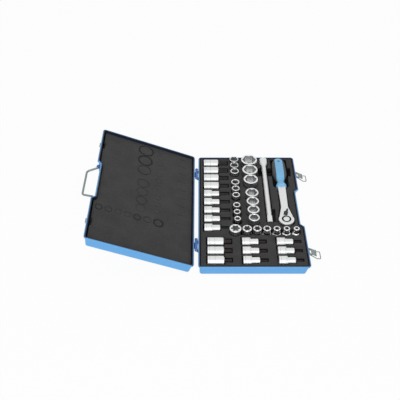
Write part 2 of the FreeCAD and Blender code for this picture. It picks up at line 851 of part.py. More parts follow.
def ratchet_pockets():
    """Pockets that follow the ratchet's grip, shank and head in plan."""
    top = 2 * foam_top
    grip_half = grip_width / 2 + grip_side_gap
    shank_half = shank_back_width / 2 + shank_side_gap
    grip_floor = shank_axis - grip_height / 2 - rest_gap
    shank_floor = shank_axis - head_thickness / 2 - rest_gap
    slope = grip_half - shank_half
    front = grip_front_y - grip_side_gap
    grip_outline = [
        Vec(grip_x - shank_half, front - slope / 2, grip_floor),
        Vec(grip_x + shank_half, front - slope / 2, grip_floor),
        Vec(grip_x + grip_half, front + slope / 2, grip_floor),
        Vec(grip_x + grip_half, grip_back_y + rest_gap, grip_floor),
        Vec(grip_x - grip_half, grip_back_y + rest_gap, grip_floor),
        Vec(grip_x - grip_half, front + slope / 2, grip_floor),
    ]
    head_radius = head_diameter / 2 + shank_side_gap
    flare_end = head_centre_y + flare_length
    flare_outline = [
        Vec(grip_x - head_radius, head_centre_y, shank_floor),
        Vec(grip_x + head_radius, head_centre_y, shank_floor),
        Vec(grip_x + shank_half, flare_end, shank_floor),
        Vec(grip_x + shank_half, front, shank_floor),
        Vec(grip_x - shank_half, front, shank_floor),
        Vec(grip_x - shank_half, flare_end, shank_floor),
    ]
    head_floor = square_tip - rest_gap
    return [
        prism(grip_outline, Vec(0, 0, top)),
        prism(flare_outline, Vec(0, 0, top)),
        Part.makeCylinder(head_radius, top, Vec(grip_x, head_centre_y, head_floor)),
    ]


def finger_slot():
    """Slot across the bar and the grip to lift them out."""
    y1 = case_length / 2 - slot_from_back
    x0 = bar_x - bar_end_diameter / 2 - slot_bar_margin
    x1 = case_width / 2 - slot_latch_margin
    return box(x0, x1, y1 - slot_length, y1, slot_floor, 2 * foam_top)


def tray_foam(pockets):
    """Foam tray with a pocket for every tool."""
    block = case_block(base_depth, sheet + foam_wall_gap, sheet, foam_top, True)
    return block.cut(pockets)


def extension_bar():
    """Bar with a square hole at the back end and a square tip at the front, along +Y."""
    r = bar_diameter / 2
    e = bar_end_diameter / 2
    neck = bar_length - bar_end_length
    profile = [(0, tip_square_length), (r - chamfer, tip_square_length), (r, tip_square_length + chamfer)]
    profile += [(r, neck - bar_taper), (e, neck), (e, bar_length - chamfer), (e - chamfer, bar_length)]
    profile += [(0, bar_length)]
    hole = shifted(square_bar(square_depth, square_slack), 0, 0, bar_length - square_depth)
    tip = square_bar(tip_square_length + square / 2, 0)
    tip = tip.common(Part.makeCone(tip_end_radius, tip_end_radius + bar_length, bar_length))
    bar = fused([turned(profile), tip.common(Part.makeCylinder(tip_corner_radius, bar_length))]).cut(hole)
    turn = FreeCAD.Rotation(Vec(1, 0, 0), -90)
    return placed(bar, FreeCAD.Placement(Vec(bar_x, from_front(bar_front), bar_axis), turn))


def at_head(shape):
    """A ratchet piece modelled about the head's centre, set in the tray."""
    return shifted(shape, grip_x, head_centre_y, 0)


def rectangle(half_width, half_height, y):
    """Upright rectangle across the ratchet's axis."""
    corners = [
        Vec(-half_width, y, shank_axis - half_height),
        Vec(half_width, y, shank_axis - half_height),
        Vec(half_width, y, shank_axis + half_height),
        Vec(-half_width, y, shank_axis + half_height),
    ]
    return Part.makePolygon(corners + corners[:1])


grip_start = grip_front_y - head_centre_y
grip_end = grip_back_y - head_centre_y


def tang(slack):
    """Flat tail of the shank inside the grip, about the head's centre."""
    w = tang_width / 2 + slack
    t = tang_thickness / 2 + slack
    return box(-w, w, grip_start, grip_start + tang_length + slack, shank_axis - t, shank_axis + t)


def ratchet_body():
    """Forged head, flare, shank and tang, hollowed for the gear and the pawl."""
    head = Part.makeCylinder(head_diameter / 2, head_thickness, Vec(0, 0, head_bottom))
    head = head.makeFillet(head_edge, [e for e in head.Edges if e.BoundBox.ZLength < flat_slack])
    wide = math.sqrt((head_diameter / 2) ** 2 - flare_start**2)
    root = rectangle(wide, head_thickness / 2 - flare_step, flare_start)
    waist = rectangle(shank_front_width / 2, shank_thickness / 2, flare_length)
    tail = rectangle(shank_back_width / 2, shank_thickness / 2, grip_start)
    flare = Part.makeLoft([root, waist], True, True)
    shank = Part.makeLoft([waist, tail], True, True)
    gear_room = Part.makeCylinder(
        gear_radius + gear_gap, head_thickness - head_top_wall, Vec(0, 0, head_bottom)
    )
    hub_room = Part.makeCylinder(hub_radius + gear_gap, head_thickness + cut_past, Vec(0, 0, head_bottom))
    pawl_room = Part.makeCylinder(
        pawl_radius + gear_gap, head_thickness - head_top_wall, Vec(0, lever_post_y, head_bottom)
    )
    post_room = Part.makeCylinder(
        lever_post_radius + turning_slack, head_thickness + cut_past, Vec(0, lever_post_y, head_bottom)
    )
    body = fused([head, flare, shank, tang(0)])
    return at_head(body.cut([gear_room, hub_room, pawl_room, post_room]))


def drive_gear():
    """Toothed gear with its hub in the head's top and the drive square below."""
    bottom = head_bottom + gear_gap
    top = head_top - head_top_wall - gear_gap
    points = []
    for i in range(2 * gear_teeth):
        radius = gear_radius if i % 2 == 0 else gear_radius - gear_tooth
        turn = math.pi * i / gear_teeth
        points.append(Vec(radius * math.cos(turn), radius * math.sin(turn), bottom))
    wheel = prism(points, Vec(0, 0, top - bottom))
    hub = Part.makeCylinder(hub_radius, head_top + hub_proud - bottom, Vec(0, 0, bottom))
    peg = shifted(square_bar(bottom + cut_past - square_tip, 0), 0, 0, square_tip)
    peg = peg.common(Part.makeCylinder(tip_corner_radius, head_top, Vec(0, 0, 0)))
    well_floor = head_top + button_proud - button_height - button_travel - gear_gap
    well = Part.makeCylinder(button_radius + gear_gap, head_top, Vec(0, 0, well_floor))
    return at_head(fused([wheel, hub, peg]).cut(well))


def release_button():
    """Push button in the hub that frees the socket."""
    low = head_top + button_proud - button_height
    button = Part.makeCylinder(button_radius, button_height, Vec(0, 0, low))
    return at_head(button.makeChamfer(chamfer, [e for e in button.Edges if e.BoundBox.ZMin > low + chamfer]))


def cover_plate():
    """Round plate that closes the head round the drive square."""
    low = head_bottom - cover_thickness
    hole = Part.makeCylinder(tip_corner_radius + gear_gap, 2 * cover_thickness, Vec(0, 0, low))
    return at_head(Part.makeCylinder(cover_radius, cover_thickness, Vec(0, 0, low)).cut(hole))


def pawl():
    """Two-nosed pawl on the reversing lever's post, clear of the teeth."""
    low = head_bottom + gear_gap
    high = head_top - head_top_wall - gear_gap
    disc = Part.makeCylinder(pawl_radius, high - low, Vec(0, lever_post_y, low))
    heel_y = lever_post_y + pawl_flat
    heel = box(-pawl_radius, pawl_radius, heel_y, heel_y + pawl_radius, low, high)
    bore = Part.makeCylinder(lever_post_radius + press_slack, head_top, Vec(0, lever_post_y, 0))
    return at_head(disc.cut([heel, bore]))


def reversing_lever():
    """Thumb lever on top of the head, with its post down into the pawl."""
    low = head_top + lever_lift
    boss = Part.makeCylinder(lever_boss_radius, lever_height, Vec(0, lever_post_y, low))
    half = lever_thumb_width / 2
    thumb = box(-half, half, lever_post_y, lever_post_y + lever_thumb, low, low + lever_height)
    tip = Part.makeCylinder(half, lever_height, Vec(0, lever_post_y + lever_thumb, low))
    head = fused([boss, thumb, tip])
    head.rotate(Vec(0, lever_post_y, 0), Vec(0, 0, 1), lever_turn)
    post = rod(
        lever_post_radius,
        Vec(0, lever_post_y, head_bottom + gear_gap),
        Vec(0, lever_post_y, low + lever_height / 2),
    )
    return at_head(fused([head, post]))


def grip_form():
    """Whole grip, swelling behind a waist, about the head's centre."""
    stations = (
        (0.0, 0.66, 0.82),
        (0.06, 0.69, 0.86),
        (0.19, 0.45, 0.55),
        (0.35, 0.86, 0.88),
        (0.55, 1.0, 1.0),
        (0.8, 0.97, 0.97),
        (0.93, 0.83, 0.84),
        (1.0, 0.6, 0.64),
    )
    rings = []
    for along, wide, tall in stations:
        centre = Vec(0, grip_start + along * grip_length, shank_axis)
        side = centre + Vec(grip_width * wide / 2, 0, 0)
        crown = centre + Vec(0, 0, grip_height * tall / 2)
        rings.append(Part.Wire(Part.Ellipse(side, crown, centre).toShape()))
    return Part.makeLoft(rings, True, False)


def grip_pieces():
    """Blue core with the strip along its top, and the dark pads along its two sides."""
    form = grip_form()
    first = grip_start + pad_start
    far = grip_width
    low = shank_axis - grip_height
    high = shank_axis + grip_height
    sides = [
        box(-far, -grip_strip / 2, first, grip_end + cut_past, low, high),
        box(grip_strip / 2, far, first, grip_end + cut_past, low, high),
    ]
    pads = [form.common(side) for side in sides]
    hole_y = grip_end - grip_hole_inset
    hole = rod(grip_hole_radius, Vec(0, hole_y, low), Vec(0, hole_y, high))
    core = form.cut(sides + [tang(press_slack), hole])
    return at_head(core), at_head(Part.makeCompound(pads))


# The case
parts = {}
hinge_half = hinge_length / 2
middle_half = middle_knuckle / 2
outer_knuckles = [(-hinge_half, -middle_half - knuckle_gap), (middle_half + knuckle_gap, hinge_half)]
hinge_places = (-hinge_y, hinge_y)
latch_places = {"front": -latch_y, "rear": latch_y}

wall_holes = [on_base_wall(hole, y) for y in latch_places.values() for hole in rivet_holes()]
parts["base_shell"] = case_shell(base_depth).cut(wall_holes)
base_leaf = hinge_leaf(base_depth, outer_knuckles)
parts["base_hinge_leaves"] = Part.makeCompound([shifted(base_leaf, 0, y, 0) for y in hinge_places])
pins = []
for y in hinge_places:
    reach = Vec(0, hinge_half, 0)
    centre = hinge_pin + Vec(0, y, 0)
    pins.append(rod(hinge_pin_radius, centre - reach, centre + reach))
pins += [on_base_wall(latch_pin(), y) for y in latch_places.values()]
parts["pivot_pins"] = Part.makeCompound(pins)
parts["latch_plates"] = Part.makeCompound([on_base_wall(latch_plate(), y) for y in latch_places.values()])
rivets = [on_base_wall(rivet, y) for y in latch_places.values() for rivet in latch_rivets()]
parts["latch_rivets"] = Part.makeCompound(rivets)
for place, y in latch_places.items():
    parts[place + "_latch_lever"] = on_base_wall(opened_lever(latch_lever()), y)
    parts[place + "_latch_loop"] = on_base_wall(opened_loop(latch_loop()), y)

parts["lid_shell"] = on_lid(case_shell(lid_depth))
lid_leaf = hinge_leaf(lid_depth, [(-middle_half, middle_half)])
parts["lid_hinge_leaves"] = Part.makeCompound([on_lid(shifted(lid_leaf, 0, y, 0)) for y in hinge_places])
keeper = placed(latch_keeper(), lid_wall)
keepers = [on_lid(shifted(keeper, 0, y, 0)) for y in latch_places.values()]
parts["latch_keepers"] = Part.makeCompound(keepers)
parts["handle_brackets"] = Part.makeCompound([on_lid(handle_bracket(side)) for side in (-1, 1)])
parts["carry_handle"] = on_lid(carry_handle())
parts["lid_foam"] = on_lid(lid_foam())

# The tools, each with its pocket
pockets = bar_pockets() + ratchet_pockets() + [finger_slot()]
parts["extension_bar"] = extension_bar()
parts["ratchet_body"] = ratchet_body()
parts["drive_gear"] = drive_gear()
parts["release_button"] = release_button()
parts["cover_plate"] = cover_plate()
parts["pawl"] = pawl()
parts["reversing_lever"] = reversing_lever()
parts["grip_core"], parts["grip_pads"] = grip_pieces()

stand = socket_floor + rest_gap
small_x = from_hinge(small_from_hinge)
for group, seats, ys in zip(small_sockets, small_seats, small_ys):
    places = [(small_x, from_front(y)) for y in ys]
    solids = []
    for (size, diameter), (x, y) in zip(group, places):
        solids.append(shifted(hexagon_socket(size, diameter, small_length), x, y, stand))
    name = "small_sockets_%d_to_%d_mm" % (group[0][0], group[-1][0])
    parts[name] = Part.makeCompound(solids)
    pockets.append(standing_pocket(places, seats, socket_floor))

large_x = from_hinge(large_from_hinge)
for group, seats, ys in zip(large_sockets, large_seats, large_ys):
    places = [(large_x, from_front(y)) for y in ys]
    for (size, diameter), (x, y) in zip(group, places):
        socket = hexagon_socket(size, diameter, large_length)
        parts["large_socket_%d_mm" % size] = shifted(socket, x, y, stand)
    pockets.append(standing_pocket(places, seats, socket_floor))

star_floor = sheet + star_foam_floor
places = [(from_hinge(x), from_front(star_row_y)) for x in star_row]
for (size, diameter, nose), (x, y) in zip(star_sockets, places):
    parts["star_socket_%d" % size] = shifted(star_socket(diameter, nose), x, y, star_floor + rest_gap)
pockets.append(standing_pocket(places, star_seats, star_floor))

for (size, across_flats, necked), y in zip(hexagon_bits, hexagon_ys):
    x = from_hinge(hexagon_start)
    foot = Vec(x, from_front(y), bit_axis)
    parts["hexagon_bit_%d_mm" % size] = lying(hexagon_bit(across_flats, necked), foot)
    pockets.append(bit_pocket(x, foot.y, across_flats, necked, hexagon_blade))

for column, bits in enumerate(star_bits):
    x = from_hinge(star_bit_margin + column * star_bit_pitch)
    for (size, diameter, necked), y in zip(bits, star_bit_ys):
        foot = Vec(x, from_front(y), bit_axis)
        parts["star_bit_%d" % size] = lying(star_bit(diameter, necked), foot)
        pockets.append(bit_pocket(x, foot.y, diameter, necked, star_blade))

parts["tray_foam"] = tray_foam(pockets)

os.makedirs("parts", exist_ok=True)
for name, shape in parts.items():
    shape.exportStep("parts/%s.step" % name)
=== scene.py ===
import json
import math

import bmesh
import bpy
import numpy as np
from mathutils import Matrix, Vector
from mathutils.bvhtree import BVHTree
from mathutils.geometry import delaunay_2d_cdt


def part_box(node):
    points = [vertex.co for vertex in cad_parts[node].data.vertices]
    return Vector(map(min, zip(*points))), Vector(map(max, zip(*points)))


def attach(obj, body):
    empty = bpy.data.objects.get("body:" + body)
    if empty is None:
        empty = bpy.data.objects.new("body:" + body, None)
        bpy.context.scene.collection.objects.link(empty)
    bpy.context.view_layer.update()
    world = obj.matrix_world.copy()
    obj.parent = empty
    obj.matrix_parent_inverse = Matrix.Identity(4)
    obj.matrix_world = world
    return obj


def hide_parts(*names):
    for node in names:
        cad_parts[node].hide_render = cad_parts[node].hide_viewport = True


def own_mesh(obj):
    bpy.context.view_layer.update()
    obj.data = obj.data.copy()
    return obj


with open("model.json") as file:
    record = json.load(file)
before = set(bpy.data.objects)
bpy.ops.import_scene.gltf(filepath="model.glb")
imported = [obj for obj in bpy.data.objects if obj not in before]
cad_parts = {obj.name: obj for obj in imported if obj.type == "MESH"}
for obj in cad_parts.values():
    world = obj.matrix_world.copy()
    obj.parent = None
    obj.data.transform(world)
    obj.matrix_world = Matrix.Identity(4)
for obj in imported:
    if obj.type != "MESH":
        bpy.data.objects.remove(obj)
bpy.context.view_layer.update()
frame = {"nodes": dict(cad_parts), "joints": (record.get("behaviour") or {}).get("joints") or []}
nodes = frame["nodes"]
mm = 0.001

# Base of the case: a tray pressed from sheet steel, with a folded rim and a bay in its latch side.
# Stove enamel, light blue and half glossy outside. Inside, above the foam, the walls are painted
# dark navy as painted shade, and so is the inner edge of the rim's flat.


def linear(colour):
    """sRGB hex colour as the linear RGBA that a shader takes."""
    shares = [int(colour[i:i + 2], 16) / 255 for i in (1, 3, 5)]
    return [s / 12.92 if s <= 0.04045 else ((s + 0.055) / 1.055) ** 2.4 for s in shares] + [1.0]


def add(tree, kind, inputs=None, **settings):
    """Adds a node. An input is a plain value or another node's output."""
    node = tree.nodes.new(kind)
    for name, value in settings.items():
        setattr(node, name, value)
    for name, value in (inputs or {}).items():
        if isinstance(value, bpy.types.NodeSocket):
            tree.links.new(value, node.inputs[name])
        else:
            node.inputs[name].default_value = value
    return node


def new_material(name):
    """Material with an empty tree, and its Object coordinates."""
    material = bpy.data.materials.new(name)
    material.use_nodes = True
    tree = material.node_tree
    tree.nodes.clear()
    return material, tree, add(tree, "ShaderNodeTexCoord").outputs["Object"]


def surface(tree, inputs):
    """Closes a material with a Principled shader."""
    shader = add(tree, "ShaderNodeBsdfPrincipled", inputs)
    add(tree, "ShaderNodeOutputMaterial", {"Surface": shader.outputs["BSDF"]})


edge_start, edge_full = 0.995, 0.85  # cosines between the rounded and the flat normal


def edge_share(tree, radius):
    """Rounded normal, and a mask that is 1 on edges sharper than the radius."""
    normal = add(tree, "ShaderNodeBevel", {"Radius": radius}, samples=6).outputs["Normal"]
    flat = add(tree, "ShaderNodeNewGeometry").outputs["True Normal"]
    agree = add(tree, "ShaderNodeVectorMath", {0: normal, 1: flat}, operation="DOT_PRODUCT")
    inputs = {"Value": agree.outputs["Value"], "From Min": edge_start, "From Max": edge_full}
    return normal, add(tree, "ShaderNodeMapRange", inputs).outputs["Result"]


half_width, half_length, rim_plane = 126.7 * mm, 202.65 * mm, 28.3 * mm
bay_wall, bay_half = half_width - 9.5 * mm, 62 * mm
# Painted shade: a dark navy band along the inner edge of the rims' flat.
rim_shade_width, rim_shade_fade = 1.2 * mm, 0.4 * mm
rim_shade_colour = "#15233F"
rim_tolerance = 0.5 * mm


def rim_shade_mask(tree, place, to_shut):
    """1 on the inner edge of a rim's flat, where it is painted dark as painted shade."""
    turn = {"Vector": place, "Location": to_shut.translation, "Rotation": to_shut.to_euler()}
    shut_place = add(tree, "ShaderNodeMapping", turn).outputs["Vector"]
    size = add(tree, "ShaderNodeVectorMath", {0: shut_place}, operation="ABSOLUTE")
    walls = {0: size.outputs["Vector"], 1: (half_width, half_length, 0)}
    past_walls = add(tree, "ShaderNodeVectorMath", walls, operation="SUBTRACT")
    past = add(tree, "ShaderNodeSeparateXYZ", {"Vector": past_walls.outputs["Vector"]}).outputs
    outside = add(tree, "ShaderNodeMath", {0: past["X"], 1: past["Y"]}, operation="MAXIMUM")
    across = add(tree, "ShaderNodeSeparateXYZ", {"Vector": shut_place}).outputs
    in_bay = add(tree, "ShaderNodeMath", {0: across["X"], 1: bay_wall}, operation="SUBTRACT")
    bay_end = add(tree, "ShaderNodeMath", {0: bay_half - half_length, 1: past["Y"]}, operation="SUBTRACT")
    slope = {0: bay_end.outputs["Value"], 1: in_bay.outputs["Value"]}
    past_slope = add(tree, "ShaderNodeMath", slope, operation="ADD")
    upright = {0: past_slope.outputs["Value"], 1: math.sqrt(0.5)}
    slant = add(tree, "ShaderNodeMath", upright, operation="MULTIPLY")
    bay = {0: in_bay.outputs["Value"], 1: slant.outputs["Value"]}
    past_bay = add(tree, "ShaderNodeMath", bay, operation="MINIMUM")
    sides = {0: outside.outputs["Value"], 1: past_bay.outputs["Value"]}
    distance = add(tree, "ShaderNodeMath", sides, operation="MAXIMUM")
    band = {"Value": distance.outputs["Value"], "From Min": rim_shade_width, "From Max": rim_shade_width - rim_shade_fade}
    near_wall = add(tree, "ShaderNodeMapRange", band)
    level = {0: across["Z"], 1: rim_plane, 2: rim_tolerance}
    on_flat = add(tree, "ShaderNodeMath", level, operation="COMPARE")
    both = {0: near_wall.outputs["Result"], 1: on_flat.outputs["Value"]}
    return add(tree, "ShaderNodeMath", both, operation="MULTIPLY").outputs["Value"]


def enamel(name, colour, cloud_colour, edge_colour, roughness, to_shut=None):
    """Stove enamel: a smooth coat with orange peel, cloudy by its thickness and thinner on edges; on a shell,
    with painted shade along the inner edge of the rim's flat.
    """
    material, tree, place = new_material(name)
    cloud = add(tree, "ShaderNodeTexNoise", {"Vector": place, "Scale": 1 / (45 * mm), "Detail": 3.0})
    peel = add(tree, "ShaderNodeTexNoise", {"Vector": place, "Scale": 1 / (2.2 * mm), "Detail": 2.0})
    normal, edge = edge_share(tree, 0.5 * mm)
    coat = add(
        tree,
        "ShaderNodeMix",
        {0: cloud.outputs["Fac"], 6: linear(colour), 7: linear(cloud_colour)},
        data_type="RGBA",
    )
    worn = add(
        tree,
        "ShaderNodeMix",
        {0: edge, 6: coat.outputs[2], 7: linear(edge_colour)},
        data_type="RGBA",
    )
    # Painted shade on the inner edge of the rim's flat.
    if to_shut:
        inner = {0: rim_shade_mask(tree, place, to_shut), 6: worn.outputs[2], 7: linear(rim_shade_colour)}
        worn = add(tree, "ShaderNodeMix", inner, data_type="RGBA")
    dull = {"Value": cloud.outputs["Fac"], "To Min": roughness - 0.05, "To Max": roughness + 0.08}
    rough = add(tree, "ShaderNodeMapRange", dull)
    bump = add(
        tree,
        "ShaderNodeBump",
        {"Strength": 0.2, "Distance": 0.06 * mm, "Height": peel.outputs["Fac"], "Normal": normal},
    )
    surface(
        tree,
        {
            "Base Color": worn.outputs[2],
            "Roughness": rough.outputs["Result"],
            "Normal": bump.outputs["Normal"],
            "IOR": 1.5,
            "Coat Weight": 0.15,
            "Coat Roughness": 0.15,
        },
    )
    return material


def islands(mesh):
    """Number of the separate solid that each polygon belongs to."""
    found = {}
    corner = [found.setdefault(tuple(round(c / mm, 3) for c in v.co), len(found)) for v in mesh.vertices]
    parent = list(range(len(found)))

    def root(i):
        while parent[i] != i:
            parent[i] = parent[parent[i]]
            i = parent[i]
        return i

    for polygon in mesh.polygons:
        first, *others = [root(corner[v]) for v in polygon.vertices]
        for other in others:
            parent[root(other)] = root(first)
    return np.array([root(corner[p.vertices[0]]) for p in mesh.polygons])


lift_off = 0.02 * mm
flat_share = 0.2  # of a normal along the level; faces with less are flat


def inner_faces(mesh, reach, level=None):
    """Polygons that look at another face of their own solid within reach, such as the walls of a hole.

    With a level they look along the plane across it, as leaning walls would look past each other.
    """
    solids = islands(mesh)
    points = [v.co for v in mesh.vertices]
    inner = np.zeros(len(solids), bool)
    for solid in np.unique(solids):
        members = np.flatnonzero(solids == solid)
        tree = BVHTree.FromPolygons(points, [mesh.polygons[i].vertices for i in members])
        for i in members:
            face = mesh.polygons[i]
            start = face.center + face.normal * lift_off
            look = face.normal - face.normal.project(level) if level else face.normal
            inner[i] = look.length > flat_share and tree.ray_cast(start, look, reach)[0] is not None
    return inner


def dress(node, *materials):
    """Gives a node its materials and returns its mesh."""
    mesh = nodes[node].data
    mesh.materials.clear()
    for material in materials:
        mesh.materials.append(material)
    return mesh


def choose(mesh, chosen, slot):
    """Gives the chosen polygons the material in a slot."""
    for i in np.flatnonzero(chosen):
        mesh.polygons[i].material_index = slot


# Painted shade: a dark navy coat for the shells' faces that look inwards.
painted_shade_coat = enamel("inner_walls_painted_shade", "#101B30", "#16233C", "#1B2C4A", 0.5)
across_case = 600 * mm
panel_height = 4 * mm


def paint_shell(node, up, to_shut):
    """Blue outside and on the rim, with painted shade in dark navy on the walls and panel that look inwards.
    """
    blue_enamel = enamel(node + "_blue_enamel", "#5FA9E6", "#67B0EA", "#8FC6F2", 0.32, to_shut)
    mesh = dress(node, blue_enamel, painted_shade_coat)
    inner = inner_faces(mesh, across_case, up)
    low = min(v.co.dot(up) for v in mesh.vertices)
    for face in mesh.polygons:
        if face.normal.dot(up) > 0.7 and face.center.dot(up) < low + panel_height:
            inner[face.index] = True
    choose(mesh, inner, 1)


paint_shell("base_shell", Vector((0, 0, 1)), Matrix())

# Lid: the same pressing as the base, lying open on its back and tipped up by the hinges.
joints = {joint["name"]: joint for joint in frame["joints"]}
hinge = joints["lid_hinge"]
hinge_pin = Vector(hinge["pos_m"])
shut_angle = math.radians(hinge["range_deg"][0])
to_pin = Matrix.Translation(hinge_pin)
shut = to_pin @ Matrix.Rotation(shut_angle, 4, Vector(hinge["axis"])) @ to_pin.inverted()
lid_up = (shut.inverted().to_3x3() @ Vector((0, 0, -1))).normalized()
paint_shell("lid_shell", lid_up, shut)

# Hinges: two leaves of folded sheet each, welded on under the rims, on a steel pin.
# Painted with the case, in a darker blue that is painted shade; the handle's brackets get it too.
hinge_shaded_paint = enamel("hinge_enamel_painted_shade", "#2A66B4", "#3171C2", "#7FB5E8", 0.28)
for node in ("base_hinge_leaves", "lid_hinge_leaves", "handle_brackets"):
    dress(node, hinge_shaded_paint)

# Latches: riveted plates, levers and wire loops on the base, keepers on the lid, and the handle's
# bent wire. Bright zinc plate, slightly grey-green, with a fine drawn grain and dull patches.


def plated(name, colour, patch_colour, edge_colour, roughness, grain):
    """Plated steel: metal with dull patches, rubbed edges and a fine grain that widens its highlights."""
    material, tree, place = new_material(name)
    patches = add(tree, "ShaderNodeTexNoise", {"Vector": place, "Scale": 1 / (6 * mm), "Detail": 4.0})
    fine = add(tree, "ShaderNodeTexNoise", {"Vector": place, "Scale": 1 / (0.7 * mm), "Detail": 2.0})
    normal, edge = edge_share(tree, 0.35 * mm)
    tint = add(
        tree,
        "ShaderNodeMix",
        {0: patches.outputs["Fac"], 6: linear(colour), 7: linear(patch_colour)},
        data_type="RGBA",
    )
    rubbed = add(
        tree,
        "ShaderNodeMix",
        {0: edge, 6: tint.outputs[2], 7: linear(edge_colour)},
        data_type="RGBA",
    )
    polished = {"Value": edge, "To Min": roughness, "To Max": roughness * 0.6}
    bare = add(tree, "ShaderNodeMapRange", polished)
    dull = {"Value": patches.outputs["Fac"], "To Min": -0.05, "To Max": 0.05}
    rough = add(
        tree,
        "ShaderNodeMath",
        {0: bare.outputs["Result"], 1: add(tree, "ShaderNodeMapRange", dull).outputs["Result"]},
        operation="ADD",
    )
    bump = add(
        tree,
        "ShaderNodeBump",
        {"Strength": grain, "Distance": 0.05 * mm, "Height": fine.outputs["Fac"], "Normal": normal},
    )
    surface(
        tree,
        {
            "Base Color": rubbed.outputs[2],
            "Metallic": 1.0,
            "Roughness": rough.outputs["Value"],
            "Normal": bump.outputs["Normal"],
        },
    )
    return material


zinc_plate = plated("zinc_plated_steel", "#949E9E", "#808A89", "#BCC4C3", 0.36, 0.2)
latch_nodes = ["pivot_pins", "latch_plates", "latch_rivets", "latch_keepers", "carry_handle"]
for place in ("front", "rear"):
    latch_nodes += [place + "_latch_lever", place + "_latch_loop"]
for node in latch_nodes:
    dress(node, zinc_plate)

# Tray: a block of closed-cell foam with a pocket milled for every tool.
# Its top face is a tight charcoal skin; below it, the milled pockets and the rounding of their mouths are
# painted near black as painted shade.


def foam(name, colour, cloud_colour, roughness, cell):
    """Closed-cell foam: matt, cloudy by handling, grained by its cells and darkened where pressed in, as
    painted shade in the dents.
    """
    material, tree, place = new_material(name)
    cloud = add(tree, "ShaderNodeTexNoise", {"Vector": place, "Scale": 1 / (38 * mm), "Detail": 5.0})
    cells = add(tree, "ShaderNodeTexVoronoi", {"Vector": place, "Scale": 1 / cell})
    speck = add(tree, "ShaderNodeTexNoise", {"Vector": place, "Scale": 1 / (3.5 * mm), "Detail": 6.0})
    share = add(
        tree,
        "ShaderNodeMath",
        {0: cloud.outputs["Fac"], 1: speck.outputs["Fac"]},
        operation="MULTIPLY",
    )
    spread = {"Value": share.outputs["Value"], "From Min": 0.12, "From Max": 0.4}
    wide = add(tree, "ShaderNodeMapRange", spread)
    tint = add(
        tree,
        "ShaderNodeMix",
        {0: wide.outputs["Result"], 6: linear(colour), 7: linear(cloud_colour)},
        data_type="RGBA",
    )
    # Painted shade: the pad's dents are darkened by how deep they are pressed in.
    dent_shade = add(tree, "ShaderNodeAttribute", attribute_name="pressed")
    dent_shaded = add(
        tree,
        "ShaderNodeMix",
        {0: dent_shade.outputs["Fac"], 6: tint.outputs[2], 7: linear("#141414")},
        data_type="RGBA",
    )
    bump = add(
        tree,
        "ShaderNodeBump",
        {"Strength": 0.35, "Distance": 0.15 * mm, "Height": cells.outputs["Distance"]},
    )
    surface(
        tree,
        {
            "Base Color": dent_shaded.outputs[2],
            "Roughness": roughness,
            "Normal": bump.outputs["Normal"],
            "Specular IOR Level": 0.3,
            "Sheen Weight": 0.12,
            "Sheen Roughness": 0.5,
        },
    )
    return material


foam_skin = foam("foam_skin", "#302F2F", "#3F3E3E", 0.75, 0.9 * mm)
pocket_shade_foam = foam("foam_pocket_painted_shade", "#0C0C0D", "#151516", 0.95, 1.2 * mm)


def piece(name, mesh, node, body):
    """New object that stands for a node and rides on its body."""
    made = bpy.data.objects.new(name, mesh)
    bpy.context.scene.collection.objects.link(made)
    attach(made, body)
    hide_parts(node)
    return made


def joined(node):
    """A node's triangles with their corners merged and flat areas joined."""
    mesh = bmesh.new()
    mesh.from_mesh(nodes[node].data)
    bmesh.ops.remove_doubles(mesh, verts=mesh.verts, dist=0.002 * mm)
    bmesh.ops.dissolve_limit(
        mesh, angle_limit=math.radians(0.2), verts=mesh.verts, edges=mesh.edges, delimit={"NORMAL"}
    )
    return mesh


pocket_edge = 0.7 * mm
plane_tolerance = 0.05 * mm
sharp_angle = math.radians(35)
tray = joined("tray_foam")
foam_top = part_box("tray_foam")[1].z


def on_top(face):
    """True for the tray's top face."""
    return face.normal.z > 0.99 and face.calc_center_median().z > foam_top - plane_tolerance


mouths = [e for e in tray.edges if len(e.link_faces) == 2 and sum(map(on_top, e.link_faces)) == 1]
bmesh.ops.bevel(
    tray, geom=mouths, offset=pocket_edge, segments=2, profile=0.5, affect="EDGES", clamp_overlap=False
)
tray_mesh = bpy.data.meshes.new("foam_tray")
tray_mesh.materials.append(foam_skin)
tray_mesh.materials.append(pocket_shade_foam)
for face in tray.faces:
    face.smooth = True
    # Painted shade: every face below the top face gets the near-black pocket foam.
    if face.calc_center_median().z < foam_top - plane_tolerance:
        face.material_index = 1
tray.to_mesh(tray_mesh)
tray.free()
tray_mesh.set_sharp_from_angle(angle=sharp_angle)
foam_tray = piece("foam_tray", tray_mesh, "tray_foam", "base")

# Lid pad: a foam sheet glued into the lid, cut round the bay and the keepers.
# Shutting the lid on the tools year after year has pressed their tops into it, so it is modelled
# shut, over the tools, with a dent for each, and then swung open. It gives way as the lid shuts,
# and its face stands clear of the leaning latch wall, to stay inside the lid when it is pressed flat.
pad = joined("lid_foam")
worn = pad.verts.layers.float.new("pressed")
pad.transform(shut)
pad.normal_update()
pad_face = min(v.co.z for v in pad.verts)
face_edges = [
    e
    for e in pad.edges
    if all(v.co.z < pad_face + plane_tolerance for v in e.verts)
    and sum(f.normal.z < -0.99 for f in e.link_faces) == 1
]
step = {}
for edge in face_edges:
    for a, b in (edge.verts, reversed(edge.verts)):
        step.setdefault(a.index, []).append(b.index)
pad.verts.ensure_lookup_table()
walk = [face_edges[0].verts[0].index]
while len(walk) < len(step):
    onward = [i for i in step[walk[-1]] if i not in walk[-2:]]
    walk.append(onward[0])
border = [pad.verts[i] for i in walk]
latch_side, lean_room = 100 * mm, 2.0 * mm
for vert in border:
    if vert.co.x > latch_side:
        vert.co.x -= lean_room
outline = [v.co.to_2d() for v in border]
face_limit = pad_face + plane_tolerance
plain_face = [f for f in pad.faces if f.normal.z < -0.99 and f.calc_center_median().z < face_limit]
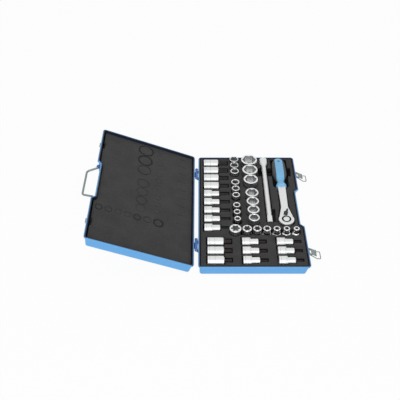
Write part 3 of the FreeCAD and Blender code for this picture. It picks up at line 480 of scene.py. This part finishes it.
bmesh.ops.delete(pad, geom=plain_face, context="FACES_ONLY")


def eased(share):
    """Smooth step of a share from 0 to 1."""
    share = np.clip(share, 0, 1)
    return share * share * (3 - 2 * share)


def ring_dent(points, centre, inner, outer, depth, soft):
    """Depth pressed in by a socket's round nose."""
    distance = np.hypot(*(points - centre).T)
    rise = eased((distance - inner + soft) / (2 * soft))
    return depth * rise * eased((outer + soft - distance) / (2 * soft))


def bar_dent(points, centre, half_x, half_y, depth, soft):
    """Depth pressed in by something long that lies flat."""
    beyond = np.abs(points - centre) - np.array([half_x, half_y])
    distance = np.hypot(*np.maximum(beyond, 0).T)
    return depth * eased(1 - distance / soft)


def middle(node):
    """Centre of a node's box in plan."""
    low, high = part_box(node)
    return np.array(((low + high) / 2).to_2d())


socket_marks = {32: 3.4, 30: 3.4, 27: 1.8, 24: 1.4, 22: 1.2, 21: 1.5, 19: 1.1}
star_marks = {24: 3.0, 20: 1.3, 18: 2.2, 16: 1.2, 14: 1.0, 12: 1.4, 10: 2.4}
dents = []
for name in nodes:
    low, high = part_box(name)
    half = (high - low) / 2
    if name.startswith("large_socket"):
        depth = socket_marks[int(name.split("_")[2])] * mm
        dents.append((ring_dent, middle(name), half.x * 0.82, half.x, depth, 0.7 * mm))
    elif name.startswith("star_socket"):
        depth = star_marks[int(name.split("_")[2])] * mm
        dents.append((ring_dent, middle(name), half.x * 0.66, half.x * 0.95, depth, 0.7 * mm))
    elif name.startswith("hexagon_bit"):
        dents.append((bar_dent, middle(name) - (half.x * 0.4, 0), 12 * mm, 0.4 * mm, 0.8 * mm, 1.6 * mm))
    elif name.startswith("star_bit"):
        dents.append((bar_dent, middle(name) - (half.x * 0.4, 0), 8 * mm, 0.2 * mm, 0.2 * mm, 1.4 * mm))
    elif name.startswith("small_sockets"):
        for share in (-1, 0, 1):
            spot = middle(name) + (0, share * (half.y - half.x))
            dents.append((ring_dent, spot, half.x * 0.55, half.x * 0.9, 0.6 * mm, 1.0 * mm))
low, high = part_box("grip_core")
dents.append((bar_dent, middle("grip_core"), 11 * mm, (high - low).y * 0.36, 0.4 * mm, 2.0 * mm))

corners = np.array(outline)
fine, coarse = 1.1 * mm, 4.4 * mm
least_dent = 0.02 * mm
low_corner, high_corner = corners.min(0), corners.max(0)
xs = np.arange(low_corner[0], high_corner[0], fine)
ys = np.arange(low_corner[1], high_corner[1], fine)
grid = np.stack(np.meshgrid(xs, ys, indexing="ij"), -1).reshape(-1, 2)
ordinal = np.stack(np.meshgrid(np.arange(len(xs)), np.arange(len(ys)), indexing="ij"), -1).reshape(-1, 2)
sparse = (ordinal % round(coarse / fine) == 0).all(1)


def pressed(points):
    """Depth of the pad's face below its plane at each point."""
    return np.max([shape(points, *sizes) for shape, *sizes in dents], axis=0)


def near_edge(points, distance):
    """Points closer than a distance to the pad's outline."""
    close = np.zeros(len(points), bool)
    for a, b in zip(corners, np.roll(corners, -1, axis=0)):
        along = b - a
        share = np.clip((points - a) @ along / max(along @ along, 1e-12), 0, 1)
        close |= np.hypot(*(points - a - share[:, None] * along).T) < distance
    return close


slack = 3 * fine
around = np.max([pressed(grid + (dx, dy)) for dx in (-slack, 0, slack) for dy in (-slack, 0, slack)], axis=0)
kept = grid[(sparse | (around > least_dent)) & ~near_edge(grid, fine)]
count = len(corners)
loop = [(i, (i + 1) % count) for i in range(count)]
plan = [Vector(p) for p in np.vstack([corners, kept])]
flat_points, _, triangles, *_ = delaunay_2d_cdt(plan, loop, [], 1, 1e-7)
flat = np.array(flat_points)
rounding = 0.5 * mm
deepest_mark, dent_shade_darkest = max(socket_marks.values()) * mm, 0.6
sunk = pressed(flat)
sunk[:count] = rounding
for vert in border:
    vert.co.z = pad_face + rounding
face_verts = border + [pad.verts.new((p[0], p[1], pad_face + s)) for p, s in zip(flat[count:], sunk[count:])]
# Painted shade in the dents: the deeper a point is pressed in, the darker its colour.
for vert, depth in zip(face_verts[count:], sunk[count:]):
    vert[worn] = dent_shade_darkest * min(depth / deepest_mark, 1)
for triangle in triangles:
    pad.faces.new([face_verts[i] for i in triangle])
bmesh.ops.recalc_face_normals(pad, faces=pad.faces)
pad.transform(shut.inverted())
for face in pad.faces:
    face.smooth = True
pad_mesh = bpy.data.meshes.new("foam_lid_pad")
pad.to_mesh(pad_mesh)
pad.free()
pad_mesh.materials.append(foam_skin)
pad_mesh.set_sharp_from_angle(angle=sharp_angle)
foam_lid_pad = piece("foam_lid_pad", pad_mesh, "lid_foam", "lid")
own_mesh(foam_lid_pad)

# Screwdriver sockets: a turned and satin-chromed body with a square hole, and a hardened blade
# pressed into it. The blades keep their heat-treated skin, black on hexagons and browned on stars.
satin_chrome = plated("satin_chrome", "#E4E5E5", "#D8D9D9", "#F0F0F0", 0.46, 0.12)
hole_steel = plated("chrome_in_holes", "#BEBFC0", "#ABACAD", "#D2D3D4", 0.5, 0.25)
black_blade = plated("heat_treated_steel", "#343435", "#2B2B2B", "#7C7C7B", 0.34, 0.3)
brown_blade = plated("browned_steel", "#373030", "#2E2828", "#7A7270", 0.36, 0.3)
bits = [name for name in nodes if name.startswith(("hexagon_bit", "star_bit"))]
across_bit = 30 * mm
for name in bits:
    blade = black_blade if name.startswith("hexagon") else brown_blade
    mesh = dress(name, satin_chrome, hole_steel, blade)
    choose(mesh, inner_faces(mesh, across_bit), 1)
    solids = islands(mesh)
    tips = {s: max(mesh.polygons[i].center.x for i in np.flatnonzero(solids == s)) for s in set(solids)}
    choose(mesh, solids == max(tips, key=tips.get), 2)

# Turned rings: fine grooves cut round the bodies of the screwdriver sockets.
# At half a pixel they are too fine for the render, so they are drawn as lines 0.9 mm wide, painted dark as
# the grooves' shade.


def turned_rings():
    """Tree that sets rings round an upright turned body, at even steps from its foot."""
    tree = bpy.data.node_groups.new("turned_rings", "GeometryNodeTree")
    for name in ("Body radius", "Line radius", "First", "Step"):
        tree.interface.new_socket(name, in_out="INPUT", socket_type="NodeSocketFloat")
    tree.interface.new_socket("Count", in_out="INPUT", socket_type="NodeSocketInt")
    tree.interface.new_socket("Finish", in_out="INPUT", socket_type="NodeSocketMaterial")
    tree.interface.new_socket("Rings", in_out="OUTPUT", socket_type="NodeSocketGeometry")
    given = add(tree, "NodeGroupInput").outputs
    path = add(tree, "GeometryNodeCurvePrimitiveCircle", {"Resolution": 64, "Radius": given["Body radius"]})
    line = add(tree, "GeometryNodeCurvePrimitiveCircle", {"Resolution": 8, "Radius": given["Line radius"]})
    ends = {"Curve": path.outputs["Curve"], "Profile Curve": line.outputs["Curve"]}
    ring = add(tree, "GeometryNodeCurveToMesh", ends)
    first = add(tree, "ShaderNodeCombineXYZ", {"Z": given["First"]})
    step = add(tree, "ShaderNodeCombineXYZ", {"Z": given["Step"]})
    steps = {"Count": given["Count"], "Start Location": first.outputs[0], "Offset": step.outputs[0]}
    places = add(tree, "GeometryNodeMeshLine", steps)
    copies = {"Points": places.outputs["Mesh"], "Instance": ring.outputs["Mesh"]}
    rings = add(tree, "GeometryNodeInstanceOnPoints", copies)
    solid = add(tree, "GeometryNodeRealizeInstances", {"Geometry": rings.outputs["Instances"]})
    finish = {"Geometry": solid.outputs["Geometry"], "Material": given["Finish"]}
    done = add(tree, "GeometryNodeSetMaterial", finish)
    add(tree, "NodeGroupOutput", {"Rings": done.outputs["Geometry"]})
    return tree


ring_tree = turned_rings()
# Painted shade: the rings' grey stands in for the shade inside the grooves.
groove_shade_steel = plated("groove_painted_shade", "#9C9D9E", "#88898A", "#BCBDBE", 0.5, 0.25)
groove_line = 0.45 * mm
groove_proud = 0.12 * mm


def ringed(tool, foot, along, radius, first, step, count):
    """Rings round a tool whose axis starts at its foot and runs along a direction."""
    made = bpy.data.objects.new(tool + "_rings", bpy.data.meshes.new(tool + "_rings"))
    bpy.context.scene.collection.objects.link(made)
    rings = made.modifiers.new("rings", "NODES")
    rings.node_group = ring_tree
    sizes = {
        "Body radius": radius + groove_proud - groove_line,
        "Line radius": groove_line,
        "First": first,
        "Step": step,
        "Count": count,
        "Finish": groove_shade_steel,
    }
    for item in ring_tree.interface.items_tree:
        if item.in_out == "INPUT":
            rings[item.identifier] = sizes[item.name]
    bpy.context.view_layer.update()
    mesh = bpy.data.meshes.new_from_object(made.evaluated_get(bpy.context.evaluated_depsgraph_get()))
    made.modifiers.remove(rings)
    turn = Vector((0, 0, 1)).rotation_difference(along).to_matrix().to_4x4()
    mesh.transform(Matrix.Translation(foot) @ turn)
    mesh.shade_smooth()
    made.data = mesh
    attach(made, tool + "_body")


first_ring, ring_step, ring_count = 5 * mm, 12.5 * mm, 2
for name in bits:
    low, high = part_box(name)
    foot = Vector((low.x, (low.y + high.y) / 2, (low.z + high.z) / 2))
    radius = (high.z - low.z) / 2
    ringed(name, foot, Vector((1, 0, 0)), radius, first_ring, ring_step, ring_count)

# Standing sockets: turned and chromed like the bodies above, but polished.
# They stand mouth up in the tray, and are duller inside.
polished_chrome = plated("polished_chrome", "#E9EAEA", "#DEDFDF", "#F4F4F4", 0.24, 0.08)
across_socket = 60 * mm
for name in nodes:
    if name.startswith(("small_sockets", "large_socket", "star_socket")):
        mesh = dress(name, polished_chrome, hole_steel)
        choose(mesh, inner_faces(mesh, across_socket), 1)

# Extension bar: one turned bar with a square at one end and a square hole at the other.
# Satin chrome like the screwdriver sockets, duller in the hole.
across_bar = 20 * mm
mesh = dress("extension_bar", satin_chrome, hole_steel)
choose(mesh, inner_faces(mesh, across_bar), 1)

# Ratchet: a drop-forged, chromed body, blasted before plating and so duller than the sockets.
# Its gear is blackened, and shows as the dark ring round the bright push button.
blasted_chrome = plated("blasted_chrome", "#E4E5E5", "#D9DADA", "#F2F2F2", 0.46, 0.3)
black_steel = plated("blackened_steel", "#232425", "#2C2D2E", "#5A5B5C", 0.4, 0.2)
for node in ("ratchet_body", "cover_plate"):
    dress(node, blasted_chrome)
dress("release_button", satin_chrome)
for node in ("drive_gear", "pawl"):
    dress(node, black_steel)


# Grip: a hard blue plastic core moulded on the tang, with softer dark grey pads along its sides.
# The reversing lever on the head is black plastic.


def moulded(name, colour, cloud_colour, roughness, texture, depth):
    """Moulded plastic or rubber: even colour with a spark-eroded grain from the mould."""
    material, tree, place = new_material(name)
    cloud = add(tree, "ShaderNodeTexNoise", {"Vector": place, "Scale": 1 / (9 * mm), "Detail": 3.0})
    grain = add(tree, "ShaderNodeTexNoise", {"Vector": place, "Scale": 1 / texture, "Detail": 2.0})
    normal, edge = edge_share(tree, 0.4 * mm)
    tint = add(
        tree,
        "ShaderNodeMix",
        {0: cloud.outputs["Fac"], 6: linear(colour), 7: linear(cloud_colour)},
        data_type="RGBA",
    )
    rough = add(
        tree,
        "ShaderNodeMapRange",
        {"Value": edge, "To Min": roughness, "To Max": roughness * 0.75},
    )
    bump = add(
        tree,
        "ShaderNodeBump",
        {"Strength": 0.3, "Distance": depth, "Height": grain.outputs["Fac"], "Normal": normal},
    )
    surface(
        tree,
        {
            "Base Color": tint.outputs[2],
            "Roughness": rough.outputs["Result"],
            "Normal": bump.outputs["Normal"],
            "IOR": 1.5,
        },
    )
    return material


dress("grip_core", moulded("blue_polypropylene", "#80C6F5", "#87CAF6", 0.38, 0.9 * mm, 0.05 * mm))
dress("grip_pads", moulded("grey_soft_rubber", "#424546", "#4A4D4E", 0.55, 0.8 * mm, 0.1 * mm))
dress("reversing_lever", moulded("black_nylon", "#17181A", "#1E1F21", 0.42, 0.8 * mm, 0.05 * mm))

# Studio: a pale floor, an even white surround and one large soft lamp behind the camera.
# What the camera and shiny metal see of floor and surround is plain white; the rest is plain light.
scene = bpy.context.scene
scene.view_settings.view_transform = "Standard"


def seen(tree):
    """1 for what the camera sees, straight or in a reflection or through glass."""
    path = add(tree, "ShaderNodeLightPath")
    both = {0: path.outputs["Is Camera Ray"], 1: path.outputs["Is Glossy Ray"]}
    shiny = add(tree, "ShaderNodeMath", both, operation="MAXIMUM")
    through = {0: shiny.outputs["Value"], 1: path.outputs["Is Transmission Ray"]}
    return add(tree, "ShaderNodeMath", through, operation="MAXIMUM").outputs["Value"]


floor_size = 6.0
glow_share = 0.95
floor_shape = bmesh.new()
bmesh.ops.create_grid(floor_shape, x_segments=1, y_segments=1, size=floor_size / 2)
floor_mesh = bpy.data.meshes.new("studio_floor")
floor_shape.to_mesh(floor_mesh)
floor_shape.free()
floor = bpy.data.objects.new("studio_floor", floor_mesh)
scene.collection.objects.link(floor)
floor_paint, tree, place = new_material("studio_floor")
matt = add(tree, "ShaderNodeBsdfDiffuse", {"Color": linear("#F4F4F4")})
glow = add(tree, "ShaderNodeEmission", {"Color": (1, 1, 1, 1), "Strength": 1.0})
share = add(tree, "ShaderNodeMath", {0: seen(tree), 1: glow_share}, operation="MULTIPLY")
shader = add(tree, "ShaderNodeMixShader", {0: share.outputs["Value"], 1: matt.outputs[0], 2: glow.outputs[0]})
add(tree, "ShaderNodeOutputMaterial", {"Surface": shader.outputs["Shader"]})
floor_mesh.materials.append(floor_paint)

plain_light, seen_light = 0.6, 1.0
world = bpy.data.worlds.new("studio")
scene.world = world
world.use_nodes = True
tree = world.node_tree
tree.nodes.clear()
level = add(tree, "ShaderNodeMapRange", {"Value": seen(tree), "To Min": plain_light, "To Max": seen_light})
sky = add(tree, "ShaderNodeBackground", {"Color": (1, 1, 1, 1), "Strength": level.outputs["Result"]})
add(tree, "ShaderNodeOutputWorld", {"Surface": sky.outputs["Background"]})

lamp = bpy.data.lights.new("softbox", "AREA")
lamp.shape = "SQUARE"
lamp.size = 2.0
lamp.energy = 22.0
softbox = bpy.data.objects.new("softbox", lamp)
softbox.location = (-0.35, -2.25, 1.15)
softbox.rotation_euler = (math.radians(63), 0, math.radians(-5))
scene.collection.objects.link(softbox)

# Camera: the photograph's view, from the front and above, square on to the case's front wall.
focal_pixels = 665.0
image_pixels = 400
camera_pitch = 41.16
camera = bpy.data.cameras.new("camera")
camera.sensor_width = 36.0
camera.lens = camera.sensor_width * focal_pixels / image_pixels
viewpoint = bpy.data.objects.new("camera", camera)
viewpoint.location = Vector((-125.5, -1245.3, 1140.9)) * mm
viewpoint.rotation_euler = (math.radians(90 - camera_pitch), 0, 0)
scene.collection.objects.link(viewpoint)
scene.camera = viewpoint

bpy.context.view_layer.update()
